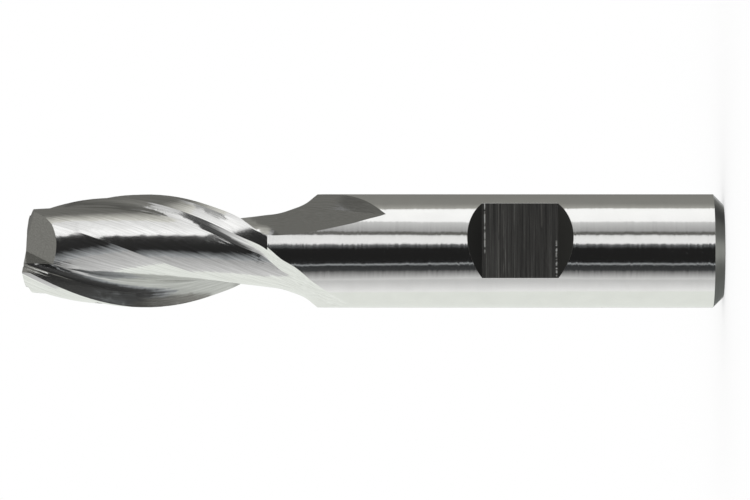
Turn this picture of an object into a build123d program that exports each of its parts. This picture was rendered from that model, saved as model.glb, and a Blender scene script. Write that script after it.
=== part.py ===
import os
from math import asin, atan2, cos, degrees, pi, radians, sin, tan

from build123d import *
from build123d import SkipClean

# A two-flute slot mill, one piece of ground steel, that stands on the rear face of its shank.
# Millimetres and degrees. The origin is the centre of the rear face, +Z points to the cutting end,
# and the clamping flat faces -Y. Depths are measured down from the tip.

# Body
overall_length = 74.0
shank_diameter = 12.0
cutting_diameter = 12.0
cutting_length = 25.8
rear_chamfer = 1.1

# Centre hole in the rear face
centre_mouth = 3.0
centre_pilot = 1.25
centre_angle = 60.0
centre_pilot_depth = 2.6

# Clamping flat
flat_centre_height = 21.6
flat_length = 8.0
flat_depth = 1.6
flat_wall_angle = 45.0
tail_clearance = 1.0

# Teeth: angles behind the cutting edge, reaches and depths as shares of the cutter radius
teeth = 2
helix_angle = 30.0
edge_azimuth = 57.6
edge_reach = 0.997
primary_land_reach = 0.992
primary_land_angle = 5.0
land_heel_reach = 0.933
land_heel_angle = 22.0
land_end_narrowing = 3.0
back_foot_reach = 0.808
back_foot_angle = 24.0
back_foot_blend = 0.05
back_middle_reach = 0.725
back_middle_angle = 68.0
heel_reach = 0.645
heel_angle = 100.0

# Flutes: rake face, corner and bowed floor, as shares of the cutter radius
radial_rake = 12.0
rake_depth = 0.442
rake_end_turn = 3.0
floor_blend = 0.165
floor_bow = 20.0
floor_rim_reach = 0.7
floor_rim_lead = 90.4
far_wall_lead = 104.8

# End teeth
dish_angle = 1.5
end_relief_angle = 8.0
end_relief_width = 1.4
end_clearance_angle = 15.0
gash_face_lead = 18.2
gash_wall_angle = 46.7
gash_line_lag = 8.5
gash_edge_lag = 4.0

# Sweeps of the grinding wheels, reaches as shares of the cutter radius
flute_stations = 11
back_stations = 12
depth_above_tip = 2.0
outside_reach = 1.75
side_overshoot = 0.267
heel_overshoot = 0.183
far_wall_length = 0.45

cutter_radius = cutting_diameter / 2
shank_radius = shank_diameter / 2
neck_height = overall_length - cutting_length
lead = pi * cutting_diameter / tan(radians(helix_angle))
twist_rate = 360 / lead
tooth_pitch = 360 / teeth

# Where each flute runs out below the cutting edges. Each row is a run as a share of the diameter,
# then the corner at the rake face and the corner at the far wall, each as a reach and an angle
# ahead of where the cutting edge ends, then the way the far wall points and the corner's blend.
flute_run_out = [
    (0.1, 0.653, -10.3, 0.737, 84.0, 112.0, 0.150),
    (0.2, 0.800, -5.9, 0.770, 75.8, 120.0, 0.1),
    (0.308, 0.93, -2.3, 0.78, 65.0, 121.0, 0.05),
    (0.442, 0.99, 0.9, 0.787, 54.3, 120.0, 0.025),
    (0.6, 1.0, 4.8, 0.815, 43.0, 116.0, 0.025),
    (0.767, 1.013, 8.8, 0.867, 33.0, 109.0, 0.025),
    (0.908, 1.06, 9.3, 0.93, 26.0, 100.0, 0.025),
    (1.038, 1.147, 5.7, 1.0, 20.8, 90.0, 0.025),
    (1.15, 1.228, 6.4, 1.083, 20.4, 90.0, 0.025),
]
# Where each back runs out. Each row is a run, then the top of the wall above the back and the
# back's foot, middle and heel, each as a reach and an angle behind where the cutting edge ends.
back_run_out = [
    (0.117, 1.0, 27.4, 0.828, 41.3, 0.738, 74.1, 0.67, 105.6),
    (0.238, 1.0, 35.8, 0.85, 51.0, 0.77, 78.1, 0.745, 108.6),
    (0.35, 1.0, 47.1, 0.895, 60.1, 0.832, 81.9, 0.845, 107.6),
    (0.45, 1.0, 57.6, 0.932, 68.1, 0.9, 85.3, 1.008, 104.0),
    (0.6, 1.0, 72.6, 0.972, 80.2, 0.967, 90.3, 1.042, 102.0),
    (0.733, 1.0, 87.7, 0.997, 90.9, 0.998, 94.8, 1.058, 101.0),
    (0.85, 1.067, 87.0, 1.05, 92.6, 1.05, 97.6, 1.083, 103.0),
]


def reach_at(reach, ahead):
    """A point of a section, from its share of the cutter radius and its angle ahead of the edge."""
    return Vector(reach * cutter_radius, 0).rotate(Axis.Z, ahead)


def azimuth(point):
    return degrees(atan2(point.Y, point.X))


def short_of(corner, towards, share):
    """The point on the way from a corner to another point, a share of the radius from the corner."""
    return corner + (towards - corner).normalized() * share * cutter_radius


def section_plane(depth):
    """A plane across the tool, with its X axis through the first cutting edge at that depth."""
    turn = radians(edge_azimuth - twist_rate * depth)
    return Plane((0, 0, overall_length - depth), x_dir=(cos(turn), sin(turn), 0), z_dir=(0, 0, 1))


def stations(count):
    """Depths from above the tip down to where the cutting edges end."""
    step = (cutting_length + depth_above_tip) / (count - 1)
    return [-depth_above_tip + step * i for i in range(count)]


def nearing_end(depth, length):
    """0 along the cutting edges, and rising to 1 over the last length of them."""
    return max(0, depth - cutting_length + length) / length


def flute_section(depth, corner, far_corner, wall_lead, blend, bow):
    rake_sine = sin(radians(radial_rake)) * cutter_radius / corner.length
    rake_way = Vector(1, 0).rotate(Axis.Z, azimuth(corner) + degrees(asin(min(1, rake_sine))))
    lip = corner + rake_way * (cutter_radius * (1 + side_overshoot) - corner.length)
    rim = far_corner + reach_at(far_wall_length, wall_lead)
    top = (lip + rim).normalized() * outside_reach * cutter_radius
    floor_way = (far_corner - corner).normalized().rotate(Axis.Z, -bow)
    rake_end = short_of(corner, lip, blend)
    floor_start = corner + floor_way * blend * cutter_radius
    with BuildSketch(section_plane(depth)) as section:
        with BuildLine():
            Line(lip, rake_end)
            Bezier(rake_end, corner, floor_start)
            TangentArc(floor_start, far_corner, tangent=floor_way)
            Polyline(far_corner, rim, top, lip)
        make_face()
    return section.sketch


def back_section(depth, wall_top, foot, middle, heel):
    rim = short_of(wall_top, foot, -side_overshoot)
    beyond = short_of(heel, middle, -heel_overshoot)
    middle_turn = (azimuth(beyond) + azimuth(wall_top)) / 2
    wall_end = short_of(foot, wall_top, back_foot_blend)
    arc_start = short_of(foot, middle, back_foot_blend)
    with BuildSketch(section_plane(depth)) as section:
        with BuildLine():
            Line(rim, wall_end)
            Bezier(wall_end, foot, arc_start)
            ThreePointArc(arc_start, middle, heel)
            Polyline(heel, beyond, reach_at(outside_reach, azimuth(beyond)),
                     reach_at(outside_reach, middle_turn), rim)
        make_face()
    return section.sketch


def land_section(depth):
    edge = reach_at(edge_reach, 0)
    bend = reach_at(primary_land_reach, -primary_land_angle)
    heel = reach_at(land_heel_reach, -land_heel_angle)
    ahead_of_edge = short_of(edge, bend, -side_overshoot)
    with BuildSketch(section_plane(depth)) as section:
        with BuildLine():
            Polyline(ahead_of_edge, bend, short_of(heel, bend, -side_overshoot),
                     reach_at(outside_reach, -1.5 * land_heel_angle),
                     reach_at(outside_reach, land_heel_angle / 2), ahead_of_edge)
        make_face()
    return section.sketch


# Section by section down each wheel's path: first along the helix, then out of the body
rake_corner = reach_at(1, 0) - Vector(rake_depth * cutter_radius, 0).rotate(Axis.Z, radial_rake)
floor_rim = reach_at(floor_rim_reach, floor_rim_lead)
flute_sections = []
for depth in stations(flute_stations):
    corner = rake_corner.rotate(Axis.Z, -rake_end_turn * nearing_end(depth, cutting_diameter / 3) ** 2)
    flute_sections.append(flute_section(depth, corner, floor_rim, far_wall_lead, floor_blend, floor_bow))
for run, reach, ahead, far_reach, far_ahead, wall_lead, blend in flute_run_out:
    twist = twist_rate * run * cutting_diameter
    bow = 1 + floor_bow * max(0, 1 - run / 0.31)
    flute_sections.append(flute_section(cutting_length + run * cutting_diameter,
                                        reach_at(reach, ahead + twist),
                                        reach_at(far_reach, far_ahead + twist),
                                        wall_lead + twist, blend, bow))

back_sections = []
for depth in stations(back_stations):
    narrowing = land_end_narrowing * nearing_end(depth, cutting_diameter)
    back_sections.append(back_section(depth, reach_at(land_heel_reach, narrowing - land_heel_angle),
                                      reach_at(back_foot_reach, -back_foot_angle - narrowing),
                                      reach_at(back_middle_reach, -back_middle_angle),
                                      reach_at(heel_reach, -heel_angle)))
for run, *places in back_run_out:
    twist = twist_rate * run * cutting_diameter
    points = [reach_at(reach, twist - behind) for reach, behind in zip(places[::2], places[1::2])]
    back_sections.append(back_section(cutting_length + run * cutting_diameter, *points))

with BuildPart() as flute:
    loft(flute_sections)
with BuildPart() as back:
    loft(back_sections)
with BuildPart() as land:
    loft([land_section(depth) for depth in stations(back_stations)])

# End relief behind each end edge
edge_out = Vector(1, 0, 0).rotate(Axis.Z, edge_azimuth)
end_edge_out = edge_out.rotate(Axis.Z, -gash_edge_lag)
end_edge = (end_edge_out + Vector(0, 0, tan(radians(dish_angle)))).normalized()
end_corner = end_edge_out * cutter_radius + Vector(0, 0, overall_length)
relief_drop = end_relief_width * tan(radians(end_relief_angle))
clearance_drop = relief_drop + cutting_diameter * tan(radians(end_clearance_angle))
with BuildPart() as end_relief:
    with BuildSketch(Plane(end_corner + end_edge * cutter_radius,
                           x_dir=end_edge_out.rotate(Axis.Z, -90), z_dir=end_edge)):
        with BuildLine():
            Polyline((0, 0), (end_relief_width, relief_drop),
                     (end_relief_width + cutting_diameter, clearance_drop),
                     (end_relief_width + cutting_diameter, -depth_above_tip),
                     (0, -depth_above_tip), (0, 0))
        make_face()
    extrude(amount=-2 * cutting_diameter)

# Gash ahead of each end edge: a prism along the line where its wall and its rake face meet
gash_turn = radians(gash_face_lead + gash_line_lag)
gash_slope = tan(radians(gash_wall_angle)) * cos(gash_turn)
gash_line = (edge_out.rotate(Axis.Z, -gash_line_lag) - Vector(0, 0, gash_slope)).normalized()
gash_side = edge_out.rotate(Axis.Z, gash_face_lead + 90)
wall_way = (gash_side - gash_line * gash_side.dot(gash_line)).normalized()
gash_rake_way = end_edge - gash_line * end_edge.dot(gash_line)
centre_of_end = Vector(0, 0, overall_length - cutter_radius * tan(radians(dish_angle)))
gash_plane = Plane(centre_of_end - gash_line * depth_above_tip, x_dir=wall_way, z_dir=gash_line)
gash_reach = 2 * cutting_diameter
gash_rake = Vector(gash_rake_way.dot(gash_plane.x_dir), gash_rake_way.dot(gash_plane.y_dir))
rake_far = gash_rake.normalized() * gash_reach
with BuildPart() as gash:
    with BuildSketch(gash_plane):
        with BuildLine():
            Polyline((0, 0), (gash_reach, 0), (gash_reach + rake_far.X, rake_far.Y),
                     (rake_far.X, rake_far.Y), (0, 0))
        make_face()
    extrude(amount=cutting_diameter)

# Clamping flat, with an end wall that slopes up to the skin at each end
flat_drop = shank_radius - flat_depth
flat_bottom = flat_centre_height - flat_length / 2
flat_top = flat_centre_height + flat_length / 2
wall_out = shank_radius
wall_run = (wall_out + flat_depth) / tan(radians(flat_wall_angle))
with BuildPart() as clamping_flat:
    with BuildSketch(Plane.YZ):
        with BuildLine():
            Polyline((-flat_drop, flat_bottom), (-flat_drop, flat_top),
                     (-shank_radius - wall_out, flat_top + wall_run),
                     (-shank_radius - wall_out, flat_bottom - wall_run), (-flat_drop, flat_bottom))
        make_face()
    extrude(amount=shank_radius, both=True)

# The tail of the shank is the full round below the flat, and the grip is the rest of it
tail_length = flat_bottom - flat_depth / tan(radians(flat_wall_angle)) - tail_clearance
with BuildPart() as endmill:
    with BuildSketch():
        Circle(shank_radius)
    extrude(amount=tail_length)
    chamfer(endmill.edges().sort_by(Axis.Z)[0], rear_chamfer)
    with Locations(Location((0, 0, 0), (180, 0, 0))):
        CounterSinkHole(centre_pilot / 2, centre_mouth / 2, centre_pilot_depth, centre_angle)
    with SkipClean():
        with BuildSketch(Plane.XY.offset(tail_length)):
            Circle(shank_radius)
        extrude(amount=neck_height - tail_length, clean=False)
        with BuildSketch(Plane.XY.offset(neck_height)):
            Circle(cutter_radius)
        extrude(amount=cutting_length, clean=False)
        add(clamping_flat.part, mode=Mode.SUBTRACT, clean=False)
        for cut in (land, back, flute, end_relief, gash):
            for tooth in range(teeth):
                add(cut.part.rotate(Axis.Z, tooth * tooth_pitch), mode=Mode.SUBTRACT, clean=False)

endmill.part.label = "endmill"
os.makedirs("parts", exist_ok=True)
export_step(endmill.part, "parts/endmill.step")
print("endmill", round(endmill.part.volume), "mm3,", len(endmill.part.solids()), "solid,",
      len(endmill.part.faces()), "faces, valid", endmill.part.is_valid)
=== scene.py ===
# %% [markdown]
# # A ground two-flute cutter in a light tent
#
# This lesson dresses one CAD solid, a cutter for a milling machine. Its shape is already right, so
# the work is in its surfaces: hardened steel shows almost nothing of its own, only the studio
# around it, softened by the marks that the grinding wheels left. We load the part, look at its
# measures, give the steel its finishes, and then build the studio that it mirrors.

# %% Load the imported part
from functools import reduce
from math import atan, cos, degrees, radians, sin, tan

import bpy
from mathutils import Matrix, Vector


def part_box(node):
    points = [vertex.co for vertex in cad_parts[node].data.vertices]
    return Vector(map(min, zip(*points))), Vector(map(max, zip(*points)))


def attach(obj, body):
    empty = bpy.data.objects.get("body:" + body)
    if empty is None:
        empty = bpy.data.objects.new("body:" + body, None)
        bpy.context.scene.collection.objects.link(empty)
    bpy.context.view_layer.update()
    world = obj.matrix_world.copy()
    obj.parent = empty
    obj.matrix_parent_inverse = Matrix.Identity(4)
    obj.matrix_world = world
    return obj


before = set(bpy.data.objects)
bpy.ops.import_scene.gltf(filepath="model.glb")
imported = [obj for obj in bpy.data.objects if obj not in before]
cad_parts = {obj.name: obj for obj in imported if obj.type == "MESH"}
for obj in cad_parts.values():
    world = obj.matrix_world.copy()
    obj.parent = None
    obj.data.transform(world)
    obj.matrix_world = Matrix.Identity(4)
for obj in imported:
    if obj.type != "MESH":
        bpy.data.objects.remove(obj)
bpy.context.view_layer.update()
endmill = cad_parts["endmill"]
low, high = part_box("endmill")
print("cutter", round((high.z - low.z) * 1000, 2), "mm long,", len(endmill.data.polygons), "triangles")

# %% [markdown]
# ## Measures that the finishes follow
#
# Each finish stops at an edge of the solid: the flutes stop where they run out, the dark oxide
# stays in the clamping flat. Object coordinates are in metres from the centre of the rear face,
# with Z along the tool, so the measures below are all a material needs to find its place. Length
# and radius come from the solid. The flutes turn as they climb, and the twist says by how much.

# %% Measures of the cutter, in metres and radians
MM = 0.001
tool_length = high.z
tool_radius = high.x
neck_height = 48.2 * MM
chamfer_height = 1.1 * MM
flat_height = 21.6 * MM
flat_floor_length = 8.0 * MM
flat_depth = 1.6 * MM
flat_half_length = flat_floor_length / 2 + flat_depth
flat_drop = tool_radius - flat_depth
facet_depth = 6.0 * MM
edge_azimuth = radians(57.6)
helix_angle = radians(30.0)
twist = tan(helix_angle) / tool_radius
print("cutting edges turn", round(degrees(twist * (tool_length - neck_height))), "degrees")

# %% [markdown]
# ## Small helpers for node trees
#
# A material is a graph of nodes. These helpers add one node and wire its inputs in one call, so
# that a finish reads from top to bottom like a recipe.


# %% Node helpers
class Recipe:
    """Adds nodes to one material and hands back their outputs."""

    def __init__(self, name):
        self.material = bpy.data.materials.new(name)
        self.material.use_nodes = True
        self.tree = self.material.node_tree
        self.shader = self.tree.nodes["Principled BSDF"]

    def wire(self, value, socket):
        """Link an output to a socket, or write a plain value into it."""
        if isinstance(value, bpy.types.NodeSocket):
            self.tree.links.new(value, socket)
        else:
            socket.default_value = value

    def node(self, kind, output=0, **inputs):
        """A node with its named inputs wired."""
        node = self.tree.nodes.new(kind)
        for key, value in inputs.items():
            self.wire(value, node.inputs[key.replace("_", " ")])
        return node.outputs[output]

    def math(self, operation, *values):
        """One sum on plain numbers."""
        node = self.tree.nodes.new("ShaderNodeMath")
        node.operation = operation
        for value, socket in zip(values, node.inputs):
            self.wire(value, socket)
        return node.outputs[0]

    def vector(self, operation, *values, output="Vector", **inputs):
        """One sum on vectors."""
        node = self.tree.nodes.new("ShaderNodeVectorMath")
        node.operation = operation
        for value, socket in zip(values, node.inputs):
            self.wire(value, socket)
        for key, value in inputs.items():
            self.wire(value, node.inputs[key])
        return node.outputs[output]

    def parts_of(self, vector):
        """The x, y and z of a vector."""
        node = self.tree.nodes.new("ShaderNodeSeparateXYZ")
        self.wire(vector, node.inputs[0])
        return node.outputs

    def turned(self, place, angle):
        """A place turned about the tool's axis."""
        node = self.tree.nodes.new("ShaderNodeVectorRotate")
        node.rotation_type = "Z_AXIS"
        self.wire(place, node.inputs["Vector"])
        self.wire(angle, node.inputs["Angle"])
        return node.outputs[0]

    def step_up(self, value, edge, width):
        """0 below the edge and 1 above it, over a soft step of that width."""
        return self.node("ShaderNodeMapRange", Value=value,
                         From_Min=edge - width / 2, From_Max=edge + width / 2)

    def step_down(self, value, edge, width):
        """1 below the edge and 0 above it."""
        return self.math("SUBTRACT", 1.0, self.step_up(value, edge, width))

    def band(self, value, middle, half_width, softness):
        """1 within half a width of the middle and 0 outside, with soft sides."""
        distance = self.math("ABSOLUTE", self.math("SUBTRACT", value, middle))
        return self.step_down(distance, half_width, softness)

    def between(self, share, least, most):
        """From the least at 0 to the most at 1."""
        return self.math("MULTIPLY_ADD", share, most - least, least)

    def all_of(self, *masks):
        """1 where every mask is 1."""
        return reduce(lambda joined, mask: self.math("MULTIPLY", joined, mask), masks)

    def any_of(self, *masks):
        """1 where at least one mask is 1."""
        return reduce(lambda joined, mask: self.math("MAXIMUM", joined, mask), masks)

    def grain(self, place, per_metre, detail, roughness):
        """Noise that changes so many times per metre along x, y and z, so that it runs one way."""
        stretched = self.node("ShaderNodeMapping", Vector=place, Scale=per_metre)
        return self.node("ShaderNodeTexNoise", "Fac", Vector=stretched, Scale=1.0, Detail=detail,
                         Roughness=roughness)

    def tipped(self, normal, way, noise, swing):
        """A normal tipped along a direction, to either side by up to half the swing."""
        tip = self.math("MULTIPLY", self.math("SUBTRACT", noise, 0.5), swing)
        return self.vector("NORMALIZE", self.vector("ADD", normal, self.vector("SCALE", way, Scale=tip)))

    def mix(self, factor, first, second):
        """The first at 0 and the second at 1, for numbers, vectors or colours alike."""
        # A Mix node keeps the sockets of all kinds: data type, first input and output of each.
        kinds = {"VALUE": ("FLOAT", 2, 0), "VECTOR": ("VECTOR", 4, 1), "RGBA": ("RGBA", 6, 2)}
        kind = "RGBA" if isinstance(first, tuple) else getattr(first, "type", "VALUE")
        data_type, at, output = kinds[kind]
        node = self.tree.nodes.new("ShaderNodeMix")
        node.data_type = data_type
        self.wire(factor, node.inputs[0])
        self.wire(first, node.inputs[at])
        self.wire(second, node.inputs[at + 1])
        return node.outputs[output]


# %% [markdown]
# ## Where on the tool is a point?
#
# The finishes need three answers: how high the point is, how far it is from the axis, and where
# it would be if the flutes were unwound. A Vector Rotate node turned by height times twist
# unwinds them, so marks drawn straight along Z then follow the helix on the real tool.

# %% Find the place of a point
steel = Recipe("ground_high_speed_steel")
place = steel.node("ShaderNodeTexCoord", "Object")
x, y, z = steel.parts_of(place)
from_axis = steel.math("SQRT", steel.math("MULTIPLY_ADD", x, x, steel.math("MULTIPLY", y, y)))
unwind = steel.math("MULTIPLY_ADD", z, -twist, twist * tool_length - edge_azimuth)
unwound = steel.turned(place, unwind)
print("a point knows its height, its distance from the axis and its unwound place")

# %% [markdown]
# ## Masks
#
# A mask is 1 where a finish belongs and 0 elsewhere. The shank is all that lies on the cylinder
# below the neck, the flat is what was milled out of its front, and the rear is everything below
# the top of the chamfer. The flutes, backs and lands are what is left. The skin starts a little
# inside the radius, because the triangles of a round surface lie slightly inside it.

# %% Masks for the finishes
hair = 0.02 * MM
skin_margin = 0.05 * MM
flat_margin = 0.012 * MM
front_margin = 0.5 * MM
floor_margin = 0.03 * MM
on_skin = steel.step_up(from_axis, tool_radius - skin_margin, hair)
below_neck = steel.step_down(z, neck_height, hair)
is_shank = steel.all_of(on_skin, below_neck)
near_flat = steel.band(z, flat_height, flat_half_length, hair)
in_front = steel.step_down(y, front_margin - flat_drop, hair)
under_skin = steel.step_down(from_axis, tool_radius - flat_margin, hair / 2)
in_flat = steel.all_of(near_flat, in_front, under_skin)
on_flat_floor = steel.step_up(y, -flat_drop - floor_margin, hair)
on_rear = steel.step_down(z, chamfer_height, hair)
print("masks made for shank, flat, the flat's floor and the rear")

# %% [markdown]
# ## Grinding marks on the shank
#
# A wheel leaves fine parallel scratches. They don't show as lines but as frayed edges in what
# the steel mirrors, because each scratch tips the surface a little. On the shank they are the
# rings of a centreless grinder. The shank mirrors long bands that run along it, and only a tip
# around the axis frays those, so each ring tips the normal around the axis by its own amount.

# %% Rings on the shank
rings_per_metre = (250.0, 250.0, 7000.0)
ring_swing = 0.085
true_normal = steel.node("ShaderNodeNewGeometry", "Normal")
around = steel.vector("CROSS_PRODUCT", (0.0, 0.0, 1.0), true_normal)
rings = steel.grain(place, rings_per_metre, detail=3.0, roughness=0.65)
shank_normal = steel.tipped(true_normal, around, rings, ring_swing)
print("rings tip the normal by", round(degrees(atan(ring_swing / 2)), 1), "degrees at most")

# %% [markdown]
# ## Grinding marks in the flutes
#
# In a flute the wheel ran along the helix, so the marks are drawn on the unwound place and tip
# the normal across the helix. Where a flute runs out, its floor climbs and so turns to face along
# the helix. There the wheel left the steel, and the marks fade away.

# %% Marks along the helix
marks_per_metre = (5200.0, 5200.0, 200.0)
mark_swing = 0.24
fade_middle = 0.35
fade_width = 0.4
no_tip = 0.5
turning = steel.node("ShaderNodeCombineXYZ", X=steel.math("MULTIPLY", y, -twist),
                     Y=steel.math("MULTIPLY", x, twist), Z=1.0)
helix_way = steel.vector("NORMALIZE", turning)
faces_helix = steel.math("ABSOLUTE", steel.vector("DOT_PRODUCT", true_normal, helix_way, output="Value"))
marks = steel.grain(unwound, marks_per_metre, detail=4.0, roughness=0.7)
marks = steel.mix(steel.step_down(faces_helix, fade_middle, fade_width), no_tip, marks)
across_helix = steel.vector("CROSS_PRODUCT", true_normal, helix_way)
flute_normal = steel.tipped(true_normal, across_helix, marks, mark_swing)
print("marks tip the normal by", round(degrees(atan(mark_swing / 2)), 1), "degrees at most")

# %% [markdown]
# ## Grinding marks on the end teeth
#
# The facets at the tip were ground with strokes that run along the end edges. A facet is a surface
# near the tip whose normal has a large part along the axis.

# %% Strokes on the facets at the tip
strokes_per_metre = (350.0, 7000.0, 7000.0)
stroke_swing = 0.12
facet_slope = 0.62
edge_way = (cos(edge_azimuth), sin(edge_azimuth), 0.0)
along_edge = steel.turned(place, -edge_azimuth)
strokes = steel.grain(along_edge, strokes_per_metre, detail=3.0, roughness=0.65)
across_edge = steel.vector("CROSS_PRODUCT", true_normal, edge_way)
facet_normal = steel.tipped(true_normal, across_edge, strokes, stroke_swing)
faces_along = steel.math("ABSOLUTE", steel.parts_of(true_normal)[2])
near_tip = steel.step_up(z, tool_length - facet_depth, width=0.4 * MM)
is_facet = steel.all_of(steel.step_up(faces_along, facet_slope, width=0.08), near_tip)
print("strokes tip the normal by", round(degrees(atan(stroke_swing / 2)), 1), "degrees at most")

# %% [markdown]
# ## One normal for the whole tool
#
# Each surface takes the normal of its own marks, and the masks choose between them.

# %% Choose the normal
normal = steel.mix(is_facet, flute_normal, facet_normal)
normal = steel.mix(is_shank, normal, shank_normal)
steel.wire(normal, steel.shader.inputs["Normal"])
print("the normal of rings, marks or strokes is wired in")

# %% [markdown]
# ## Dark oxide with streaks
#
# After hardening, the flat keeps a near-black oxide. The milling cutter that made it crossed the
# tool, so its streaks run across too. The end wall on the rear side is painted lighter than the
# other: painted light on one of two walls that face opposite ways.

# %% Oxide of the clamping flat
streaks_per_metre = (90.0, 90.0, 5200.0)
black_oxide = (0.055, 0.054, 0.052, 1.0)
grey_oxide = (0.17, 0.168, 0.16, 1.0)
thin_oxide = (0.42, 0.415, 0.4, 1.0)
# painted light: the rear end wall's oxide is made lighter, while the tip-side wall stays near-black
painted_lit_rear_wall_oxide = (0.14, 0.14, 0.135, 1.0)
tip_wall_oxide = (0.055, 0.055, 0.053, 1.0)
streaks = steel.grain(place, streaks_per_metre, detail=5.0, roughness=0.75)
oxide = steel.mix(steel.step_up(streaks, edge=0.5, width=0.36), black_oxide, grey_oxide)
thin_share = steel.math("POWER", steel.step_up(streaks, edge=0.64, width=0.18), 2.0)
oxide = steel.mix(thin_share, oxide, thin_oxide)
# the end walls take their oxide, the rear one with painted light
wall_oxide_and_painted_light = steel.mix(steel.step_up(z, flat_height, hair), painted_lit_rear_wall_oxide, tip_wall_oxide)
oxide = steel.mix(on_flat_floor, wall_oxide_and_painted_light, oxide)
print("oxide covers", round((2 * flat_half_length) / MM, 1), "mm of the shank's length")

# %% [markdown]
# ## Painted highlights and faint lines on the flat
#
# Near both ends of the floor, in its corners with the end walls, a painted highlight stands for the
# light those corners catch: a bright line on one side and a row of bright dots on the other. Fainter
# lines lie between them. One function draws them all: a thin band at one height, cut at its two
# ends, and broken up by noise.

# %% Painted highlights and faint lines across the flat
# painted highlight: near-white steel for the bright lines in the corners of the floor
painted_highlight_steel = (0.85, 0.85, 0.82, 1.0)
half_worn = (0.3, 0.29, 0.27, 1.0)
soft_end = 0.5 * MM


def broken_line(height, half_width, left, right, dots_per_metre, share):
    """A broken line across the flat. Its height, half width and two ends are in millimetres."""
    at_height = steel.band(z, height * MM, half_width * MM, softness=0.6 * half_width * MM)
    from_left = steel.step_up(x, left * MM, soft_end)
    to_right = steel.step_down(x, right * MM, soft_end)
    dots = steel.grain(place, (dots_per_metre, 10.0, 900.0), detail=2.0, roughness=0.5)
    broken = steel.step_up(dots, edge=1.0 - share, width=0.12)
    return steel.all_of(at_height, from_left, to_right, broken)


# painted highlights: a bright line and a row of bright dots where the floor meets its end walls
bright_lines = [
    (25.32, 0.06, -1.2, 4.6, 1700.0, 0.53),
    (17.78, 0.08, -3.9, -0.1, 3400.0, 0.5),
]
faint_lines = [
    (23.85, 0.05, -4.2, 4.2, 500.0, 0.55),
    (23.35, 0.04, -3.5, 4.2, 400.0, 0.5),
    (19.3, 0.05, -1.0, 4.2, 300.0, 0.5),
]
faint = steel.any_of(*[broken_line(*line) for line in faint_lines])
bright = steel.any_of(*[broken_line(*line) for line in bright_lines])
oxide = steel.mix(steel.math("MULTIPLY", faint, 0.5), oxide, half_worn)
# the painted highlights are laid over the oxide
oxide = steel.mix(bright, oxide, painted_highlight_steel)
print("oxide has", len(bright_lines), "bright and", len(faint_lines), "faint rubbed lines")

# %% [markdown]
# ## Colour
#
# Bare steel is nearly white and slightly warm. Soft clouds vary it on the shank, and the marks
# themselves in the flutes. The chamfer and the rear face were turned and not ground, which leaves
# them darker.

# %% Colours of the finishes
clouds_per_metre = 500.0
shank_light = (0.9, 0.9, 0.885, 1.0)
shank_dark = (0.8, 0.8, 0.785, 1.0)
flute_dark = (0.78, 0.78, 0.765, 1.0)
flute_light = (0.95, 0.95, 0.94, 1.0)
turned_dark = (0.24, 0.25, 0.245, 1.0)
turned_light = (0.36, 0.37, 0.365, 1.0)
wheel_grain = steel.mix(is_facet, marks, strokes)
cloud = steel.node("ShaderNodeTexNoise", "Fac", Vector=place, Scale=clouds_per_metre, Detail=5.0)
tone = steel.mix(steel.step_up(wheel_grain, edge=0.5, width=0.3), flute_dark, flute_light)
tone = steel.mix(is_shank, tone, steel.mix(cloud, shank_light, shank_dark))
tone = steel.mix(on_rear, tone, steel.mix(rings, turned_dark, turned_light))
tone = steel.mix(in_flat, tone, oxide)
steel.wire(tone, steel.shader.inputs["Base Color"])
steel.shader.inputs["Metallic"].default_value = 1.0
print("bare steel is", shank_light[:3], "at its lightest on the shank")

# %% [markdown]
# ## Roughness
#
# What makes the finishes differ most is how much they blur what they mirror: least on the shank
# and in the flutes, more on the turned chamfer and rear face, and most in the oxide.

# %% Roughness of the finishes
turned_blur = 0.3
oxide_blur = 0.5
flute_blur = steel.between(wheel_grain, least=0.06, most=0.16)
shank_blur = steel.between(rings, least=0.07, most=0.13)
blur = steel.mix(is_shank, flute_blur, shank_blur)
blur = steel.mix(on_rear, blur, turned_blur)
blur = steel.mix(in_flat, blur, oxide_blur)
steel.wire(blur, steel.shader.inputs["Roughness"])
endmill.material_slots[0].link = "OBJECT"
endmill.material_slots[0].material = steel.material
print("finish", steel.material.name, "has", len(steel.tree.nodes), "nodes")

# %% [markdown]
# ## The camera
#
# The picture shows the tool lying across the frame, tip to the left. The tool stands on its
# shank here, so the camera rolls over instead: its right is the tool's down. A long lens from
# three quarters of a metre keeps the two outlines of the shank parallel.

# %% Camera
picture_width_pixels = 750
pixels_per_metre = 9441.7
camera_distance = 0.7415
camera_turn = radians(-104.2)
aim_height = 36.88 * MM
aim_lift = 0.095 * MM
toward = Vector((cos(camera_turn), sin(camera_turn), 0))
picture_up = Vector((-toward.y, toward.x, 0))
picture_right = Vector((0, 0, -1))
lens = bpy.data.cameras.new("long_lens")
lens.sensor_width = 36.0
lens.lens = lens.sensor_width * camera_distance * pixels_per_metre / picture_width_pixels
lens.clip_start = 0.01
lens.clip_end = 10.0
camera = bpy.data.objects.new("camera", lens)
bpy.context.scene.collection.objects.link(camera)
pose = Matrix((picture_right, picture_up, toward)).transposed().to_4x4()
pose.translation = Vector((0, 0, aim_height)) + picture_up * aim_lift + toward * camera_distance
camera.matrix_world = pose
bpy.context.scene.camera = camera
print("lens", round(lens.lens, 1), "mm at", camera_distance, "m")

# %% [markdown]
# ## The light tent
#
# Polished steel is drawn by what surrounds it. Around the tool stands a round tent of paper and
# cloth sheets, each lit evenly or fading from one side to the other. The tent is seen only in
# reflections: it neither blocks the view nor tints the floor. All its sheets share one material,
# which glows in the colour of its corners, and each sheet is given its own corner colours.

# %% Paper that glows
plain = (1.0, 1.0, 1.0)
olive = (1.0, 0.99, 0.92)
cool = (0.93, 0.97, 1.0)
green = (0.97, 1.0, 0.95)


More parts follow.
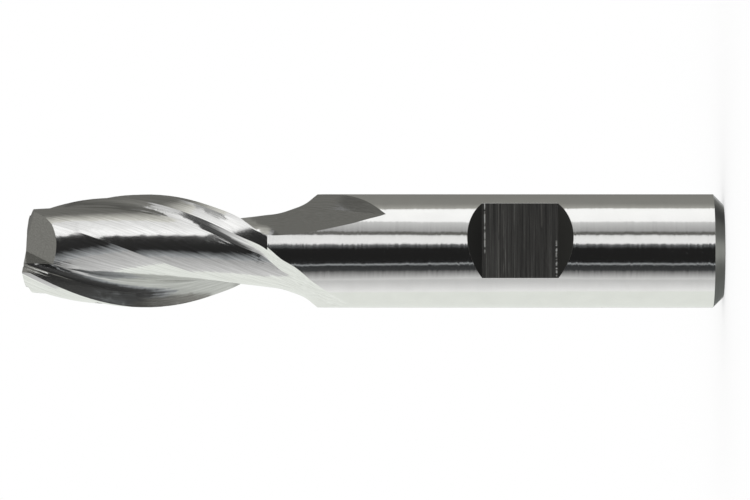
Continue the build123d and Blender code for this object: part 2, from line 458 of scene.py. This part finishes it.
def lit_paper():
    """Paper that glows in the colour of its corners."""
    paper = bpy.data.materials.new("lit_paper")
    paper.use_nodes = True
    tree = paper.node_tree
    tree.nodes.clear()
    colour = tree.nodes.new("ShaderNodeVertexColor")
    colour.layer_name = "glow"
    light = tree.nodes.new("ShaderNodeEmission")
    output = tree.nodes.new("ShaderNodeOutputMaterial")
    tree.links.new(colour.outputs["Color"], light.inputs["Color"])
    tree.links.new(light.outputs[0], output.inputs["Surface"])
    return paper


def light_up(sheet, levels, tint):
    """Colour each corner of a sheet by its level, and show the sheet in reflections only."""
    glow = sheet.data.color_attributes.new("glow", "FLOAT_COLOR", "POINT")
    for corner, level in zip(glow.data, levels):
        corner.color = [level * part for part in tint] + [1.0]
    sheet.data.materials.append(paper)
    sheet.visible_camera = False
    sheet.visible_diffuse = False
    sheet.visible_shadow = False


paper = lit_paper()
print("paper of the tent:", paper.name)

# %% [markdown]
# ## One panel of the tent
#
# A panel is a curved sheet between two heights and two angles. Angles are measured from the top of
# the picture towards the lens, which stands at 90 degrees, and 180 is the bottom of the picture.
# The two upper corners may lean, because the flutes mirror the edges of the sheets at a slant.

# %% Hang one panel
tent_radius = 0.42
panel_step = 5


def hang_panel(name, belt, start, end, first_level, last_level, tint=plain, lean=(0, 0)):
    """A curved panel whose light goes from the first level at its start to the last at its end."""
    steps = max(1, round((end - start) / panel_step))
    corners = []
    for height, (start_lean, end_lean) in zip(belt, ((0, 0), lean)):
        first_turn = start + start_lean
        last_turn = end + end_lean
        for step in range(steps + 1):
            turn = radians(first_turn + (last_turn - first_turn) * step / steps)
            outward = picture_up * cos(turn) + toward * sin(turn)
            corners.append(outward * tent_radius + Vector((0, 0, height)))
    row = steps + 1
    faces = [(i, i + 1, i + row + 1, i + row) for i in range(steps)]
    levels = [first_level + (last_level - first_level) * step / steps for step in range(row)]
    mesh = bpy.data.meshes.new(name)
    mesh.from_pydata(corners, [], faces)
    panel = bpy.data.objects.new(name, mesh)
    bpy.context.scene.collection.objects.link(panel)
    light_up(panel, levels + levels, tint)


print("a panel is a curved sheet", tent_radius, "m from the tool")

# %% [markdown]
# ## The belt that the shank mirrors
#
# The shank is a plain cylinder, so it mirrors only a narrow belt of the tent, panel by panel. From
# behind the top of the picture round to the lens and on to the bottom, these are an olive backdrop,
# a white ceiling, a grey gap, a bright edge, the black cloth around the lens with a lit seam, and a
# pale table that fades in. They give the shank its long straight bands. The pale ground lies behind
# the tool and shows from the other sides.

# %% Panels for the shank
shank_belt = (-0.045, 0.072)
shank_panels = [
    ("pale_ground", -180, -98, 0.85, 0.85, green),
    ("backdrop", -98, -22, 0.2, 0.25, olive),
    ("backdrop_near", -22, -6, 0.25, 0.4, olive),
    ("white_ceiling", -6, 29, 1.1, 1.05),
    ("grey_ceiling", 29, 51, 0.65, 0.35),
    ("gap", 51, 58, 0.13, 0.1, olive),
    ("bright_edge", 58, 76, 0.85, 0.95),
    ("cloth_fold", 76, 84, 0.15, 0.03, cool),
    ("black_cloth", 84, 115, 0.015, 0.015),
    ("lit_seam", 115, 118, 0.4, 0.4, cool),
    ("lower_cloth", 118, 131, 0.03, 0.05, cool),
    ("table_edge", 131, 150, 0.12, 0.7),
    ("pale_table", 150, 180, 0.55, 0.9),
]
for name, start, end, *look in shank_panels:
    hang_panel(name, shank_belt, start, end, *look)
print(len(shank_panels), "panels in the shank's belt")

# %% [markdown]
# ## The belts above, for the flutes
#
# The flutes and backs lean along the tool, so they mirror the tent above and below the shank's
# belt. Above it, a white and a black panel lean towards the lens and past it, which makes the
# slanted bright and dark bands of the backs. Higher up, dark eaves and one more white panel close
# the view for the walls of the run-outs.

# %% Panels above the shank's belt
tent_top = 0.7
low_belt = (shank_belt[1], 0.165)
land_belt = (low_belt[1], 0.22)
back_belt = (shank_belt[1], land_belt[1])
eaves_belt = (back_belt[1], 0.52)
top_belt = (eaves_belt[1], tent_top)
above_low = (low_belt[1], tent_top)
all_above = (shank_belt[1], tent_top)
upper_panels = [
    ("ground_above", all_above, -180, -98, 0.85, 0.85, green),
    ("backdrop_low", low_belt, -98, -30, 0.15, 0.15, olive, (0, 25)),
    ("backdrop_above", above_low, -98, -5, 0.15, 0.15, olive),
    ("ceiling_rise", low_belt, -30, 15, 0.15, 0.7, olive, (25, 0)),
    ("low_ceiling", low_belt, 15, 46, 0.75, 1.0, plain, (0, 3)),
    ("land_rise", land_belt, -5, 14, 0.15, 0.6),
    ("land_ceiling", land_belt, 14, 49, 0.35, 0.3, plain, (0, 1)),
    ("leaning_white", back_belt, 46, 54, 1.05, 1.05, plain, (4, 30)),
    ("leaning_black", back_belt, 54, 104, 0.03, 0.02, plain, (30, 16)),
    ("cloth_end", back_belt, 104, 124, 0.05, 0.4, cool, (16, 18)),
    ("table_above", back_belt, 124, 180, 0.4, 0.65, plain, (18, 0)),
    ("dark_eaves", eaves_belt, -5, 48, 0.1, 0.15, olive, (0, 30)),
    ("white_eaves", eaves_belt, 48, 84, 0.7, 1.0, plain, (30, 60)),
    ("black_eaves", eaves_belt, 84, 155, 0.05, 0.1, plain, (60, 7)),
    ("pale_eaves", eaves_belt, 155, 180, 0.25, 0.8, plain, (7, 0)),
    ("olive_top", top_belt, -5, 120, 0.12, 0.2, olive),
    ("bright_top", top_belt, 120, 180, 0.5, 1.0),
]
for panel in upper_panels:
    hang_panel(*panel)
print(len(upper_panels), "panels above the shank's belt")

# %% [markdown]
# ## The belts below, for the flutes
#
# Below the shank's belt hang black cloth, its hem and a pale table, which the lower flute turns to.
# A strip lamp behind the tool gives its edges a light when it is seen from the other sides.

# %% Panels below the shank's belt
tent_foot = -0.6
under_belt = (-0.4, shank_belt[0])
near_under = (-0.3, shank_belt[0])
far_under = (tent_foot, near_under[0])
floor_belt = (tent_foot, under_belt[0])
all_below = (tent_foot, shank_belt[0])
lower_panels = [
    ("ground_below", all_below, -180, -100, 0.45, 0.3, green),
    ("strip_lamp_behind", all_below, -100, -72, 1.0, 1.0),
    ("backdrop_under", near_under, -72, 20, 0.3, 0.2, olive),
    ("backdrop_deep", far_under, -72, 20, 0.15, 0.03),
    ("cloth_under", under_belt, 20, 50, 0.02, 0.06, plain, (0, 70)),
    ("cloth_hem", under_belt, 50, 90, 0.06, 0.4, cool, (70, 55)),
    ("table_under", under_belt, 90, 180, 0.5, 0.6, green, (55, 0)),
    ("shade_last", floor_belt, 20, 180, 0.03, 0.3, olive),
]
for panel in lower_panels:
    hang_panel(*panel)
print(len(lower_panels), "panels below the shank's belt")

# %% [markdown]
# ## Closing the tent
#
# Cloth closes both ends. The facets at the tip mirror the upper one, and the rear chamfer the back
# half of the lower one, where a small lamp gives it its soft highlight. The front half of the
# lower end is a pale table top, which the shank mirrors when it is seen from above.

# %% Cloths, lamp and table top at the ends
layer = 0.01
lamp_radius = 0.12
table_half = 0.8 * tent_radius
table_gap = 0.04
table_level = 0.8
end_sheets = [
    ("end_cloth_above", tent_top, tent_radius + layer, 0.2),
    ("end_cloth_below", tent_foot, tent_radius + layer, 0.3),
    ("round_lamp_below", tent_foot + 2 * layer, lamp_radius, 0.9),
]
bpy.ops.object.select_all(action="DESELECT")
for name, height, radius, level in end_sheets:
    bpy.ops.mesh.primitive_circle_add(vertices=48, radius=radius, fill_type="NGON", location=(0, 0, height))
    sheet = bpy.context.object
    sheet.name = name
    light_up(sheet, [level] * len(sheet.data.vertices), olive)
table_centre = toward * (table_half + table_gap) + Vector((0, 0, tent_foot + layer))
bpy.ops.mesh.primitive_plane_add(size=2 * table_half, location=table_centre, rotation=(0, 0, camera_turn))
table_top = bpy.context.object
table_top.name = "table_top_below"
light_up(table_top, [table_level] * len(table_top.data.vertices), plain)
print("both ends closed, the tent is", round(tent_top - tent_foot, 2), "m high")

# %% [markdown]
# ## The floor
#
# The tool stands on a plain pale floor that keeps its contact shadow. Part of the floor's white is
# its own glow, so the shadow stays as light as in a picture taken on a lit table. The floor is
# hidden from reflections, so the steel mirrors the tent below it instead.

# %% Floor
white = (1.0, 1.0, 1.0, 1.0)
floor_radius = 0.4
glow_share = 0.62
bpy.ops.object.select_all(action="DESELECT")
bpy.ops.mesh.primitive_circle_add(vertices=96, radius=floor_radius, fill_type="NGON")
floor = bpy.context.object
floor.name = "pale_floor"
matt = bpy.data.materials.new("matt_white")
matt.use_nodes = True
tree = matt.node_tree
tree.nodes.clear()
paint = tree.nodes.new("ShaderNodeBsdfDiffuse")
paint.inputs["Color"].default_value = white
glow = tree.nodes.new("ShaderNodeEmission")
blend = tree.nodes.new("ShaderNodeMixShader")
blend.inputs[0].default_value = glow_share
surface = tree.nodes.new("ShaderNodeOutputMaterial")
tree.links.new(paint.outputs[0], blend.inputs[1])
tree.links.new(glow.outputs[0], blend.inputs[2])
tree.links.new(blend.outputs[0], surface.inputs["Surface"])
floor.data.materials.append(matt)
floor.visible_glossy = False
print("floor glows with", glow_share, "of its white")

# %% [markdown]
# ## The world
#
# A white world lights the floor evenly and is the plain background of the picture.

# %% White room
world = bpy.data.worlds.new("white_room")
world.use_nodes = True
background = world.node_tree.nodes["Background"]
background.inputs["Color"].default_value = white
background.inputs["Strength"].default_value = 1.0
bpy.context.scene.world = world
bpy.context.scene.view_settings.view_transform = "Standard"
print("world", world.name, "is ready")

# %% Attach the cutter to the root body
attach(endmill, "root")
